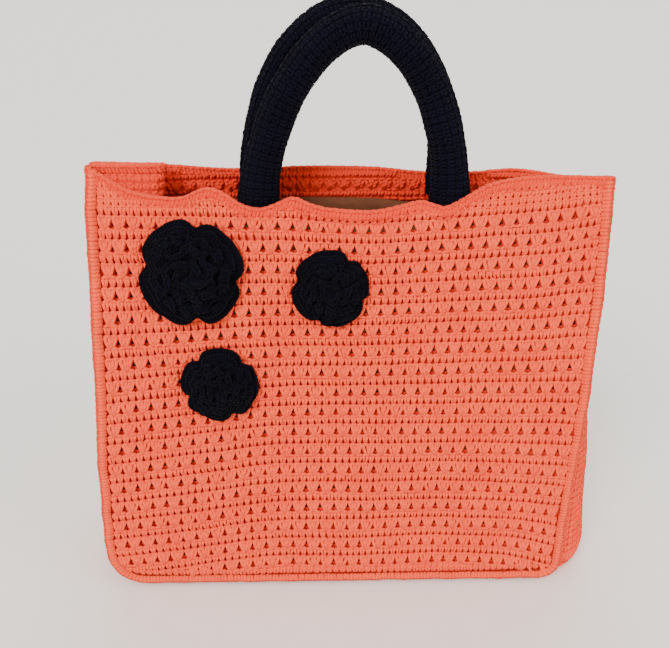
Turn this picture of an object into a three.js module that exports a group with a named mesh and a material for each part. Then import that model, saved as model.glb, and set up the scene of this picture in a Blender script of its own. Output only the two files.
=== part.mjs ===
import * as THREE from 'three';

// A crocheted shopping bag that stands on its flat base: two panels joined by raised bands to
// a gusset that runs down one side, along the base and up the other, a rim round the mouth, two padded tube handles sewn inside it,
// three ruffled flowers on the front and a thin fabric lining. X runs across the front,
// Y towards the back and Z up. All sizes are in millimetres.

// Driving dimensions of the bag
const bagWidth = 394; // between the side seams, at the mouth
const bagHeight = 370; // floor to the high left corner of the mouth
const baseDepth = 108; // between the panels at the base
const mouthDepth = 58; // between the panels at the middle of the mouth
const mouthSetback = 10; // how far the mouth lies behind the base
const sideways = 6; // how far the mouth lies to the right of the base
const rimDip = 27.2; // deepest sag of the front rim below the left corner
const belly = 6; // swell of the panels at half height
const wall = 3.6; // thickness of the crocheted fabric
const clearance = 0.35; // gap between pieces that touch
const pleatGap = 1.3; // gap between the two layers of a folded side
const seamRise = 14; // height of the bottom seams above the floor
const cornerRadius = 24; // rounding of the lower corners
const cornerEase = 1.5; // how late the swell of a side starts round a lower corner

// Driving dimensions of the bands, rim and lining
const bandWidth = 9.2; // raised joining band, seen from the front
const bandDepth = 6.8;
const bandLap = 3; // how far the gusset's edge reaches behind the band
const rimHeight = 5;
const rimThickness = 4.2;
const rimSeat = 0.8; // gap under the rim, over the uneven edges of the fabric
const liningWall = 1.2;
const liningDrop = 25; // rim to the top edge of the lining
const liningGap = 0.8;

// Driving dimensions of the handles
const handleDiameter = 29;
const handleSpacing = 148; // between the middles of the front handle's feet
const handleRise = 126; // rim to the middle of the tube at the top
const handleTuck = 18; // length of the feet below the rim
const footWidth = 33;
const footDepth = 20;
const footBlend = 34; // length over which a flat foot turns into the round tube
const handleGap = 1; // between the two handles at the top

// Driving dimensions of the flowers
const flowerSeat = 0.6;
const flowerEdge = 5; // thickness of a flower's outer edge

// Side seams and folded sides, from the floor up. depth is the share of the base depth that
// is left between the two panels. leftReach and rightReach are how far the side seams lie
// from the middle, as shares of half the width. left and right are how far each side bows
// out (+) or folds in (-), as shares of half the base depth.
const sideSections = [
  { height: 0.0, depth: 0.95, leftReach: 1.033, rightReach: 0.94, left: 0.2, right: 0.56 },
  { height: 0.18, depth: 0.98, leftReach: 1.033, rightReach: 0.938, left: 0.22, right: 0.6 },
  { height: 0.38, depth: 1.0, leftReach: 1.02, rightReach: 0.941, left: 0.14, right: 0.44 },
  { height: 0.56, depth: 0.92, leftReach: 1.001, rightReach: 0.95, left: -0.08, right: 0.1 },
  { height: 0.76, depth: 0.6, leftReach: 1.001, rightReach: 0.97, left: -0.6, right: -0.45 },
  { height: 0.89, depth: 0.27, leftReach: 1.01, rightReach: 0.987, left: -0.86, right: -0.74 },
  { height: 1.0, depth: 0.0, leftReach: 1.006, rightReach: 0.994, left: -0.97, right: -0.84 },
];

// Wavy upper edges. across runs from the left seam (-1) to the right (1), and dip is a
// share of the rim dip.
const frontRim = [
  { across: -1.0, dip: 0.0 },
  { across: -0.95, dip: 0.28 },
  { across: -0.88, dip: 0.55 },
  { across: -0.76, dip: 0.71 },
  { across: -0.65, dip: 0.72 },
  { across: -0.575, dip: 0.33 },
  { across: -0.496, dip: 0.745 },
  { across: -0.45, dip: 0.93 },
  { across: -0.28, dip: 0.6 },
  { across: -0.09, dip: 0.965 },
  { across: 0.067, dip: 1.0 },
  { across: 0.246, dip: 0.665 },
  { across: 0.365, dip: 0.945 },
  { across: 0.56, dip: 0.25 },
  { across: 0.82, dip: 0.234 },
  { across: 1.0, dip: 0.325 },
];
const backRim = [
  { across: -1.0, dip: 0.0 },
  { across: -0.48, dip: 0.31 },
  { across: -0.17, dip: 0.27 },
  { across: 0.29, dip: 0.41 },
  { across: 0.68, dip: 0.27 },
  { across: 1.0, dip: 0.346 },
];

// Soft dents (+) and swells (-) of the front panel: across and height are the place, push
// is a share of the belly and spread a share of half the width.
const frontDents = [
  { across: -0.2, height: 0.42, push: 0.45, spread: 0.34 },
  { across: 0.55, height: 0.62, push: 0.5, spread: 0.26 },
  { across: 0.82, height: 0.3, push: -0.35, spread: 0.2 },
  { across: -0.72, height: 0.2, push: -0.3, spread: 0.24 },
];

// Flowers on the front panel. across is a share of the way to the side seam and height a
// share of the height; notches are the angles between the petals, in degrees.
const flowers = [
  { name: 'flower_large', diameter: 84, relief: 19, across: -0.63, height: 0.795,
    notches: [82, 172, 275, 351] },
  { name: 'flower_medium', diameter: 62, relief: 16, across: -0.088, height: 0.763,
    notches: [58, 165, 249, 340] },
  { name: 'flower_small', diameter: 63, relief: 16, across: -0.537, height: 0.552,
    notches: [44, 128, 200, 292] },
];

// Mesh fineness
const panelColumns = 30;
const panelRows = 10;
const sideStations = 10;
const cornerStations = 6;
const baseStations = 6;
const gussetColumns = 12;
const bandSides = 8;
const rimSides = 6;
const handleStations = 30;
const handleSides = 12;
const liningSides = 36;
const petalSides = 32;

const coral = { color: 0xf27a62, roughness: 0.9, metalness: 0 };
const navy = { color: 0x14172b, roughness: 0.92, metalness: 0 };
const brown = { color: 0x9a6233, roughness: 0.85, metalness: 0 };

const halfWidth = bagWidth / 2;
const halfBase = baseDepth / 2;
const quarterTurn = Math.PI / 2;

// Half the depth of the bag where its layers lie pressed together at a corner of the mouth
const edgeStep = bandDepth / 2 + clearance + wall / 2;
const halfPleat = (wall + pleatGap) / 2;
const halfPressed = edgeStep + halfPleat;

function lerp(a, b, t) {
  return a + (b - a) * t;
}

function smooth(t) {
  const s = Math.min(1, Math.max(0, t));
  return s * s * (3 - 2 * s);
}

// Reads a column of a table at a place between its rows, on a smooth curve
function readTable(table, key, column, at) {
  const last = table.length - 1;
  let i = 0;
  while (i < last - 1 && at > table[i + 1][key]) i += 1;
  const span = table[i + 1][key] - table[i][key];
  const t = Math.min(1, Math.max(0, (at - table[i][key]) / span));
  const slope = (k) => {
    const low = Math.max(0, k - 1);
    const high = Math.min(last, k + 1);
    return (table[high][column] - table[low][column]) / (table[high][key] - table[low][key]);
  };
  const t2 = t * t;
  const t3 = t2 * t;
  return table[i][column] * (2 * t3 - 3 * t2 + 1)
    + table[i + 1][column] * (3 * t2 - 2 * t3)
    + slope(i) * span * (t3 - 2 * t2 + t)
    + slope(i + 1) * span * (t3 - t2);
}

function shareOfHeight(z) {
  return z / bagHeight;
}

function middleX(z) {
  return sideways * (shareOfHeight(z) - 0.5);
}

function middleY(z) {
  return mouthSetback * shareOfHeight(z);
}

// How far the side seam of one side (-1 left, 1 right) lies from the middle. It is straight
// beside the rounded lower corners.
function sideReach(side, z) {
  const column = side < 0 ? 'leftReach' : 'rightReach';
  const at = Math.max(z, seamRise + cornerRadius);
  return halfWidth * readTable(sideSections, 'height', column, shareOfHeight(at));
}

// Place between the side seams, from -1 at the left seam to 1 at the right
function acrossAt(x, z) {
  const fromMiddle = x - middleX(z);
  return fromMiddle / sideReach(fromMiddle < 0 ? -1 : 1, z);
}

function placeAcross(across, z) {
  return middleX(z) + across * sideReach(across < 0 ? -1 : 1, z);
}

function cornerHalfDepth(z) {
  const share = readTable(sideSections, 'height', 'depth', shareOfHeight(z));
  return lerp(halfPressed, halfBase, share);
}

function middleHalfDepth(z) {
  const share = shareOfHeight(z);
  return lerp(halfBase, mouthDepth / 2, share) + belly * Math.sin(Math.PI * share);
}

function halfDepth(x, z) {
  const across = Math.min(1, Math.abs(acrossAt(x, z)));
  const fullness = 1 - across ** 2.5;
  return lerp(cornerHalfDepth(z), middleHalfDepth(z), fullness);
}

function frontY(x, z) {
  const across = acrossAt(x, z);
  const edge = Math.max(0, 1 - across ** 4);
  let push = 0;
  for (const dent of frontDents) {
    const dx = (across - dent.across) / dent.spread;
    const dz = ((shareOfHeight(z) - dent.height) * bagHeight) / (dent.spread * halfWidth);
    push += dent.push * Math.exp(-(dx * dx + dz * dz));
  }
  return middleY(z) - halfDepth(x, z) + push * belly * edge;
}

function backY(x, z) {
  return middleY(z) + halfDepth(x, z);
}

function rimTop(table, across) {
  return bagHeight - rimDip * readTable(table, 'across', 'dip', across);
}

// Wall direction of a panel surface y = surface(x, z), pointing out of the bag
function panelNormal(surface, x, z, outward) {
  const step = 1;
  const dx = (surface(x + step, z) - surface(x - step, z)) / (2 * step);
  const dz = (surface(x, z + step) - surface(x, z - step)) / (2 * step);
  return new THREE.Vector3(-dx, 1, -dz).normalize().multiplyScalar(outward);
}

// Closed skin through rings of equally many points, with flat caps unless it closes on
// itself. Faces are turned outwards.
function loft(rings, closed = false) {
  const size = rings[0].length;
  const positions = [];
  for (const ring of rings) {
    for (const point of ring) positions.push(point.x, point.y, point.z);
  }
  const index = [];
  const count = closed ? rings.length : rings.length - 1;
  for (let i = 0; i < count; i += 1) {
    const here = i * size;
    const next = ((i + 1) % rings.length) * size;
    for (let j = 0; j < size; j += 1) {
      const k = (j + 1) % size;
      index.push(here + j, here + k, next + k, here + j, next + k, next + j);
    }
  }
  if (!closed) {
    const end = (rings.length - 1) * size;
    for (let j = 0; j < size / 2 - 1; j += 1) {
      const a = j;
      const b = j + 1;
      const c = size - 2 - j;
      const d = size - 1 - j;
      index.push(a, c, b, a, d, c);
      index.push(end + a, end + b, end + c, end + a, end + c, end + d);
    }
  }
  return turnOutward(positions, index);
}

function turnOutward(positions, index) {
  const corner = (k) => new THREE.Vector3().fromArray(positions, index[k] * 3);
  let volume = 0;
  for (let k = 0; k < index.length; k += 3) {
    volume += corner(k).dot(corner(k + 1).cross(corner(k + 2)));
  }
  const faces = [...index];
  if (volume < 0) {
    for (let k = 0; k < faces.length; k += 3) {
      [faces[k + 1], faces[k + 2]] = [faces[k + 2], faces[k + 1]];
    }
  }
  const geometry = new THREE.BufferGeometry();
  geometry.setAttribute('position', new THREE.Float32BufferAttribute(positions, 3));
  geometry.setIndex(faces);
  geometry.computeVertexNormals();
  return geometry;
}

function makeMesh(name, geometry, finish) {
  const mesh = new THREE.Mesh(geometry, new THREE.MeshStandardMaterial(finish));
  mesh.name = name;
  return mesh;
}

// A panel is a curved wall that follows the rim above and has rounded lower corners.
function panelBottom(across) {
  const reach = sideReach(across < 0 ? -1 : 1, seamRise);
  const fromSide = reach * (1 - Math.abs(across));
  const into = Math.max(0, cornerRadius - fromSide);
  return seamRise + cornerRadius - Math.sqrt(cornerRadius ** 2 - into ** 2);
}

function panelGeometry(surface, rimTable, outward) {
  const rings = [];
  for (let i = 0; i <= panelColumns; i += 1) {
    const across = Math.sin(quarterTurn * ((2 * i) / panelColumns - 1));
    const low = panelBottom(across);
    const high = rimTop(rimTable, across) - rimHeight - rimSeat;
    const outer = [];
    const inner = [];
    for (let j = 0; j <= panelRows; j += 1) {
      const z = lerp(low, high, j / panelRows);
      const x = placeAcross(across, z);
      const middle = new THREE.Vector3(x, surface(x, z), z);
      const normal = panelNormal(surface, x, z, outward).multiplyScalar(wall / 2);
      outer.push(middle.clone().add(normal));
      inner.unshift(middle.clone().sub(normal));
    }
    rings.push([...outer, ...inner]);
  }
  return loft(rings);
}

// Seam path: down the left side, along the base and up the right side. Each station has its
// place in X and Z, its outward direction and how far round the lower corner it lies:
// turned is 1 on a side and 0 on the base.
function cornerTop(side) {
  const across = side;
  return Math.min(rimTop(frontRim, across), rimTop(backRim, across));
}

function seamStations() {
  const stations = [];
  const low = seamRise + cornerRadius;
  for (const side of [-1, 1]) {
    const half = [];
    const reach = sideReach(side, low);
    const top = cornerTop(side) - rimHeight - rimSeat;
    for (let i = 0; i < sideStations; i += 1) {
      const z = lerp(top, low, i / sideStations);
      const x = side * sideReach(side, z);
      half.push({ x, z, outX: side, outZ: 0, turned: 1, side });
    }
    for (let i = 0; i <= cornerStations; i += 1) {
      const angle = (quarterTurn * i) / cornerStations;
      half.push({
        x: side * (reach - cornerRadius + cornerRadius * Math.cos(angle)),
        z: low - cornerRadius * Math.sin(angle),
        outX: side * Math.cos(angle),
        outZ: -Math.sin(angle),
        turned: 1 - i / cornerStations,
        side,
      });
    }
    for (let i = 1; i < baseStations / 2; i += 1) {
      const x = side * (reach - cornerRadius) * (1 - (2 * i) / baseStations);
      half.push({ x, z: seamRise, outX: 0, outZ: -1, turned: 0, side });
    }
    if (side < 0) {
      stations.push(...half, { x: 0, z: seamRise, outX: 0, outZ: -1, turned: 0, side });
    } else {
      stations.push(...half.reverse());
    }
  }
  return stations;
}

// Cross-section of the gusset between its two seams. It bows out with a flat middle, or
// folds in as a pleat with two straight layers. Returns the outward reach and the place in
// Y for a share g from the front seam (-1) to the back seam (1).
function gussetProfile(g, halfChord, bow, flat) {
  const sign = Math.sign(g);
  const size = Math.abs(g);
  if (bow < -halfChord) {
    const legs = -bow - halfChord;
    const arc = quarterTurn * halfChord;
    const tipShare = arc / (arc + legs);
    if (size < tipShare) {
      const angle = (quarterTurn * size) / tipShare;
      return { out: -legs - halfChord * Math.cos(angle), y: sign * halfChord * Math.sin(angle) };
    }
    return { out: (-legs * (1 - size)) / (1 - tipShare), y: sign * halfChord };
  }
  const round = halfChord - flat;
  const flatShare = flat / (flat + quarterTurn * (round + Math.abs(bow)) * 0.5);
  if (size < flatShare) return { out: bow, y: (sign * flat * size) / flatShare };
  const angle = (quarterTurn * (size - flatShare)) / (1 - flatShare);
  return { out: bow * Math.cos(angle), y: sign * (flat + round * Math.sin(angle)) };
}

function gussetMiddle(station, g) {
  const halfChord = cornerHalfDepth(station.z) - edgeStep;
  const column = station.side < 0 ? 'left' : 'right';
  const sideBow = readTable(sideSections, 'height', column, shareOfHeight(station.z)) * halfBase;
  const baseBow = seamRise - wall / 2 - bandLap;
  const share = smooth(station.turned) ** cornerEase;
  const bow = lerp(baseBow, sideBow, share);
  const flat = lerp(halfChord - baseBow, 0, share);
  const profile = gussetProfile(g, halfChord, bow, flat);
  const out = bandLap + profile.out;
  return new THREE.Vector3(
    station.x + middleX(station.z) + station.outX * out,
    middleY(station.z) + profile.y,
    station.z + station.outZ * out,
  );
}

// The gusset is worked in three lengths: the left side with its lower corner, the base and
// the right side.
function gussetRings() {
  const grid = seamStations().map((station) => {
    const row = [];
    for (let j = 0; j <= gussetColumns; j += 1) {
      row.push(gussetMiddle(station, (2 * j) / gussetColumns - 1));
    }
    return row;
  });
  const lastRow = grid.length - 1;
  return grid.map((row, i) => {
    const outer = [];
    const inner = [];
    row.forEach((point, j) => {
      const along = grid[Math.min(lastRow, i + 1)][j].clone()
        .sub(grid[Math.max(0, i - 1)][j]);
      const over = row[Math.min(gussetColumns, j + 1)].clone()
        .sub(row[Math.max(0, j - 1)]);
      const normal = along.cross(over).normalize().multiplyScalar(wall / 2);
      outer.push(point.clone().add(normal));
      inner.unshift(point.clone().sub(normal));
    });
    return [...outer, ...inner];
  });
}

function addGusset(group) {
  const rings = gussetRings();
  const turn = sideStations + cornerStations;
  const last = rings.length - 1;
  const inset = (ring, step) => ring.map((point) => point.clone().setX(point.x + step));
  const base = [
    inset(rings[turn], clearance),
    ...rings.slice(turn + 1, last - turn),
    inset(rings[last - turn], -clearance),
  ];
  group.add(makeMesh('gusset_left', loft(rings.slice(0, turn + 1)), coral));
  group.add(makeMesh('gusset_base', loft(base), coral));
  group.add(makeMesh('gusset_right', loft(rings.slice(last - turn)), coral));
}

// Raised bands that join a panel to the gusset on three sides
function bandGeometry(facing) {
  const rings = seamStations().map((station) => {
    const z = station.z;
    const centre = bandWidth / 2 + clearance;
    const y = middleY(z) + facing * cornerHalfDepth(z);
    const ring = [];
    for (let k = 0; k < bandSides; k += 1) {
      const angle = (2 * Math.PI * k) / bandSides;
      const out = centre + (bandWidth / 2) * Math.cos(angle);
      ring.push(new THREE.Vector3(
        station.x + middleX(z) + station.outX * out,
        y + (bandDepth / 2) * Math.sin(angle),
        z + station.outZ * out,
      ));
    }
    return ring;
  });
  return loft(rings);
}

// The rim is one round worked on the upper edges: front panel, right pleat, back panel and
// left pleat.
function rimPath() {
  const points = [];
  const columns = panelColumns;
  const edge = (surface, table, across) => {
    const z = rimTop(table, across) - rimHeight / 2;
    const x = placeAcross(across, z);
    return new THREE.Vector3(x, surface(x, z), z);
  };
  const pleat = (side, direction) => {
    const front = rimTop(frontRim, side);
    const back = rimTop(backRim, side);
    for (let j = 0; j <= gussetColumns; j += 1) {
      const g = direction * ((2 * j) / gussetColumns - 1);
      const z = cornerTop(side) - rimHeight / 2;
      const x = side * sideReach(side, z);
      const station = { x, z, outX: side, outZ: 0, turned: 1, side };
      const point = gussetMiddle(station, g);
      point.z = lerp(front, back, (g + 1) / 2) - rimHeight / 2;
      points.push(point);
    }
  };
  for (let i = 0; i <= columns; i += 1) {
    points.push(edge(frontY, frontRim, Math.sin(quarterTurn * ((2 * i) / columns - 1))));
  }
  pleat(1, 1);
  for (let i = columns; i >= 0; i -= 1) {
    points.push(edge(backY, backRim, Math.sin(quarterTurn * ((2 * i) / columns - 1))));
  }
  pleat(-1, -1);
  return points;
}

function rimGeometry() {
  const points = rimPath();
  const count = points.length;
  const rings = points.map((point, i) => {
    const tangent = points[(i + 1) % count].clone().sub(points[(i + count - 1) % count]);
    const side = new THREE.Vector3(tangent.y, -tangent.x, 0).normalize();
    const ring = [];
    for (let k = 0; k < rimSides; k += 1) {
      const angle = (2 * Math.PI * (k + 0.5)) / rimSides;
      const place = point.clone().addScaledVector(side, (rimThickness / 2) * Math.cos(angle));
      place.z += (rimHeight / 2) * Math.sin(angle);
      ring.push(place);
    }
    return ring;
  });
  return loft(rings, true);
}

// A handle is a padded tube in an arch whose feet are flattened and sewn inside the rim.
function handlePath(handle, t) {
  const angle = Math.PI * t;
  const power = 2 / handle.roundness;
  const across = -Math.sign(Math.cos(angle)) * Math.abs(Math.cos(angle)) ** power;
  const rise = Math.sin(angle) ** power;
  return {
    x: handle.middle + handle.halfSpacing * across + handle.lean * rise,
    z: handle.rim + handle.rise * rise,
  };
}

function handleGeometry(handle) {
  const sectionAt = (x, z) => {
    const round = smooth((z - handle.rim) / footBlend);
    const halfAcross = lerp(footWidth, handleDiameter, round) / 2;
    const halfDeep = lerp(footDepth, handleDiameter, round) / 2;
    const seat = (x < handle.middle ? handle.leftSeat : handle.rightSeat)
      - handle.facing * halfDeep;
    const top = middleY(handle.rim) + (handle.facing * (handleDiameter + handleGap)) / 2;
    return { halfAcross, halfDeep, y: lerp(seat, top, round) };
  };
  const path = [];
  path.push({ ...handlePath(handle, 0), tuck: handleTuck });
  path.push({ ...handlePath(handle, 0), tuck: handleTuck / 2 });
  for (let i = 0; i <= handleStations; i += 1) {
    path.push({ ...handlePath(handle, i / handleStations), tuck: 0 });
  }
  path.push({ ...handlePath(handle, 1), tuck: handleTuck / 2 });
  path.push({ ...handlePath(handle, 1), tuck: handleTuck });
  const places = path.map((p) => ({ x: p.x, z: p.z - p.tuck }));
  const rings = places.map((place, i) => {
    const before = places[Math.max(0, i - 1)];
    const after = places[Math.min(places.length - 1, i + 1)];
    const length = Math.hypot(after.x - before.x, after.z - before.z);
    const across = { x: (after.z - before.z) / length, z: -(after.x - before.x) / length };
    const section = sectionAt(place.x, place.z);
    const ring = [];
    for (let k = 0; k < handleSides; k += 1) {
      const angle = (2 * Math.PI * (k + 0.5)) / handleSides;
      const reach = section.halfAcross * Math.cos(angle);
      ring.push(new THREE.Vector3(
        place.x + across.x * reach,
        section.y + section.halfDeep * Math.sin(angle),
        place.z + across.z * reach,
      ));
    }
    return ring;
  });
  return loft(rings);
}

// Where the outer side of a foot lies against the inside of the rim and the panel
function footSeat(surface, table, facing, x) {
  const z = rimTop(table, acrossAt(x, bagHeight));
  const places = [-0.1, 0, 0.1].flatMap((reach) => [
    surface(x + reach * footWidth, z - rimHeight / 2),
    surface(x + reach * footWidth, z - handleTuck / 2),
  ]);
  const inner = facing < 0 ? Math.max(...places) : Math.min(...places);
  return inner - facing * (rimThickness + clearance) / 2;
}

function makeHandle(name, surface, table, facing, shape) {
  const halfSpacing = handleSpacing / 2 + shape.wider;
  const middle = middleX(bagHeight);
  const left = middle - halfSpacing;
  const right = middle + halfSpacing;
  const leftRim = rimTop(table, acrossAt(left, bagHeight));
  const rightRim = rimTop(table, acrossAt(right, bagHeight));
  const handle = {
    facing,
    middle,
    halfSpacing,
    roundness: shape.roundness,
    rise: handleRise * shape.rise,
    lean: shape.lean,
    rim: (leftRim + rightRim) / 2,
    leftSeat: footSeat(surface, table, facing, left),
    rightSeat: footSeat(surface, table, facing, right),
  };
  return makeMesh(name, handleGeometry(handle), navy);
}

// A flower is a ruffled disc of petals that lies on the front panel. Its rings run from the
// middle of the back, round the edge and up over the petals to the middle.
function flowerGeometry(flower) {
  const radius = flower.diameter / 2;
  const centreZ = flower.height * bagHeight;
  const centreX = placeAcross(flower.across, centreZ);
  const outline = (degrees) => {
    let reach = 1;
    for (const notch of flower.notches) {
      const away = ((degrees - notch + 540) % 360) - 180;
      reach -= 0.2 * Math.exp(-((away / 15) ** 2));
    }
    return reach;
  };
  const layers = [
    { reach: 0.2, lift: 0, ruffle: 0 },
    { reach: 0.86, lift: 0, ruffle: 0 },
    { reach: 1.0, lift: flowerEdge / flower.relief, ruffle: 0 },
    { reach: 0.9, lift: 0.56, ruffle: 0.13 },
    { reach: 0.74, lift: 0.5, ruffle: 0.1 },
    { reach: 0.66, lift: 0.82, ruffle: 0.12 },
    { reach: 0.44, lift: 0.7, ruffle: 0.08 },
    { reach: 0.34, lift: 0.95, ruffle: 0.05 },
    { reach: 0.12, lift: 0.8, ruffle: 0 },
  ];
  const ruffles = 9;
  const rings = layers.map((layer, row) => {
    const ring = [];
    for (let k = 0; k < petalSides; k += 1) {
      const degrees = (360 * k) / petalSides;
      const angle = THREE.MathUtils.degToRad(degrees);
      const reach = radius * layer.reach * lerp(1, outline(degrees), layer.reach);
      const wave = layer.ruffle * Math.cos(ruffles * angle + row);
      const x = centreX + reach * Math.cos(angle);
      const z = centreZ + reach * Math.sin(angle);
      const normal = panelNormal(frontY, x, z, -1);
      const height = wall / 2 + flowerSeat + flower.relief * (layer.lift + wave);
      ring.push(new THREE.Vector3(x, frontY(x, z), z).addScaledVector(normal, height));
    }
    return ring;
  });
  return loft(rings);
}

// The lining is a thin open pouch that stands inside the crocheted walls. rise runs from
// the floor of the pouch (0) to its upper edge (1), and inset draws a ring in.
function liningRing(rise, inset) {
  const floor = wall + clearance + inset.up;
  const ring = [];
  for (let k = 0; k < liningSides; k += 1) {
    const angle = (2 * Math.PI * (k + 0.5)) / liningSides;
    const across = Math.cos(angle);
    const sine = Math.sin(angle);
    const deep = Math.sign(sine) * Math.min(1, 2 * Math.abs(sine)) ** 0.35;
    const table = sine < 0 ? frontRim : backRim;
    const z = lerp(floor, rimTop(table, across * 0.8) - liningDrop, rise);
    const column = across < 0 ? 'left' : 'right';
    const bow = readTable(sideSections, 'height', column, shareOfHeight(z)) * halfBase;
    const corner = Math.max(0, seamRise + cornerRadius - z);
    const cut = cornerRadius - Math.sqrt(Math.max(0, cornerRadius ** 2 - corner ** 2));
    const inward = wall + 2 * liningGap + cut + inset.across;
    const reach = sideReach(Math.sign(across), z) + Math.min(0, bow) - inward;
    const x = middleX(z) + reach * across;
    const surface = sine < 0 ? frontY(x, z) : backY(x, z);
    const depth = Math.abs(surface - middleY(z)) - wall / 2 - liningGap - inset.deep;
    ring.push(new THREE.Vector3(x, middleY(z) + depth * deep, z));
  }
  return ring;
}

function liningGeometry() {
  const rises = [0.05, 0.16, 0.3, 0.45, 0.6, 0.74, 0.87, 1];
  const foot = seamRise;
  const skin = (inward) => {
    const lift = inward * liningWall;
    const inset = (extra) => ({ across: extra + lift, deep: extra + lift, up: lift });
    return [
      liningRing(0, inset(foot * 2.6)),
      liningRing(0, inset(foot * 1.3)),
      ...rises.map((rise) => liningRing(rise, inset(rise < 0.1 ? foot * 0.35 : 0))),
    ];
  };
  return loft([...skin(0), ...skin(1).reverse()]);
}

const bag = new THREE.Group();
bag.add(makeMesh('front_panel', panelGeometry(frontY, frontRim, -1), coral));
bag.add(makeMesh('back_panel', panelGeometry(backY, backRim, 1), coral));
addGusset(bag);
bag.add(makeMesh('front_band', bandGeometry(-1), coral));
bag.add(makeMesh('back_band', bandGeometry(1), coral));
bag.add(makeMesh('rim', rimGeometry(), coral));
bag.add(makeMesh('lining', liningGeometry(), brown));
bag.add(makeHandle('handle_front', frontY, frontRim, -1, {
  wider: 0, roundness: 1.8, lean: 6, rise: 1,
}));
bag.add(makeHandle('handle_back', backY, backRim, 1, {
  wider: 1.5, roundness: 1.95, lean: 0, rise: 0.94,
}));
for (const flower of flowers) {
  bag.add(makeMesh(flower.name, flowerGeometry(flower), navy));
}

// The origin is the middle of the bag's box, on the floor.
const box = new THREE.Box3().setFromObject(bag);
bag.position.set(-(box.min.x + box.max.x) / 2, -(box.min.y + box.max.y) / 2, -box.min.z);

export default bag;
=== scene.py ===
import math

import bpy
import numpy as np
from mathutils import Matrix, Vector


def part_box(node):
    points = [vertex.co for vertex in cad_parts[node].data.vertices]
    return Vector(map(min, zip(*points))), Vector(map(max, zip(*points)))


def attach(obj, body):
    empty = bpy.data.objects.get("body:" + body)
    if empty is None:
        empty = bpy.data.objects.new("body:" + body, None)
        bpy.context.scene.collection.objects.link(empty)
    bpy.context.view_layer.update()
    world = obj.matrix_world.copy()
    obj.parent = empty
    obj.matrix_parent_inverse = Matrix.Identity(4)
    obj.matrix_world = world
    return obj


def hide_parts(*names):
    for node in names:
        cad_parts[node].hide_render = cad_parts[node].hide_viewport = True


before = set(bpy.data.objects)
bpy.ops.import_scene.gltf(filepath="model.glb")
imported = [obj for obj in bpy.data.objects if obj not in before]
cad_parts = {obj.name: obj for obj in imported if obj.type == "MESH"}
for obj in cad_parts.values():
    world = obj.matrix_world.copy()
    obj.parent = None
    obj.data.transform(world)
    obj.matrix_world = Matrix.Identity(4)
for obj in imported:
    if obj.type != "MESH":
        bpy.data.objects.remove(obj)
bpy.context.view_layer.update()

mm = 0.001
bpy.ops.object.select_all(action="DESELECT")

# The camera stands in front of the bag, a little above its mouth, and looks down on it, so
# that the front, the inside of the back's upper edge and the arches of the handles show.
camera_place = (-20.7 * mm, -566.7 * mm, 489 * mm)
camera_pitch = 24.0
camera_turn = 1.0
camera_lens = 39.34
bpy.ops.object.camera_add(
    location=camera_place,
    rotation=(math.radians(90 - camera_pitch), 0, -math.radians(camera_turn)),
)
camera = bpy.context.object
camera.name = "camera"
camera.data.lens = camera_lens
camera.data.clip_start = 0.01
bpy.context.scene.camera = camera


# A pale floor under soft light: a broad lamp high in front at the left, a weaker one at the
# right, one from behind, and even light from all round.
class Value:
    """A shader value that takes part in sums: each operator adds its Math node."""

    def __init__(self, finish, socket):
        self.finish = finish
        self.socket = socket

    def math(self, operation, *values):
        return self.finish.node("Math", {"operation": operation}, dict(enumerate(values)))

    def __add__(self, other):
        return self.math("ADD", self, other)

    def __sub__(self, other):
        return self.math("SUBTRACT", self, other)

    def __rsub__(self, other):
        return self.math("SUBTRACT", other, self)

    def __mul__(self, other):
        return self.math("MULTIPLY", self, other)

    __radd__ = __add__
    __rmul__ = __mul__

    def sine(self):
        return self.math("SINE", self)


class Finish:
    """A material whose nodes are added one at a time, each with its settings and inputs."""

    def __init__(self, name):
        self.material = bpy.data.materials.new(name)
        self.material.use_nodes = True
        self.tree = self.material.node_tree
        self.tree.nodes.clear()

    def node(self, kind, settings=None, inputs=None, output=0):
        made = self.tree.nodes.new("ShaderNode" + kind)
        for key, setting in (settings or {}).items():
            if key == "stops":
                ramp = made.color_ramp
                while len(ramp.elements) < len(setting):
                    ramp.elements.new(1.0)
                for element, (place, color) in zip(ramp.elements, setting):
                    element.position = place
                    element.color = color
            else:
                setattr(made, key, setting)
        for key, value in (inputs or {}).items():
            if isinstance(value, Value):
                self.tree.links.new(value.socket, made.inputs[key])
            else:
                made.inputs[key].default_value = value
        return Value(self, made.outputs[output]) if made.outputs else None

    def place(self):
        return self.node("TexCoord", output="Object")

    def noise(self, place, scale, detail=2.0):
        return self.node("TexNoise", None, {"Vector": place, "Scale": scale, "Detail": detail})

    def blend(self, share, low, high):
        """A colour between low, where the share is 0, and high, where it is 1."""
        inputs = {"Factor": share, 6: low, 7: high}
        return self.node("Mix", {"data_type": "RGBA"}, inputs, output=2)

    def relief(self, height, distance, strength, over=None):
        """A bump, over another one where that is given."""
        inputs = {"Height": height, "Distance": distance, "Strength": strength}
        if over is not None:
            inputs["Normal"] = over
        return self.node("Bump", None, inputs)

    def close(self, inputs):
        surface = self.node("BsdfPrincipled", None, inputs)
        self.node("OutputMaterial", None, {"Surface": surface})
        return self.material


floor_size = 600.0
bpy.ops.mesh.primitive_plane_add(size=floor_size, location=(0, 0, 0))
floor = bpy.context.object
floor.name = "floor"
floor_finish = Finish("pale_floor")
floor_grain = floor_finish.noise(floor_finish.place(), 60.0, 3.0)
floor.data.materials.append(floor_finish.close({
    "Base Color": floor_finish.blend(floor_grain, (0.84, 0.82, 0.78, 1), (0.90, 0.88, 0.84, 1)),
    "Roughness": 0.8,
}))

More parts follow.
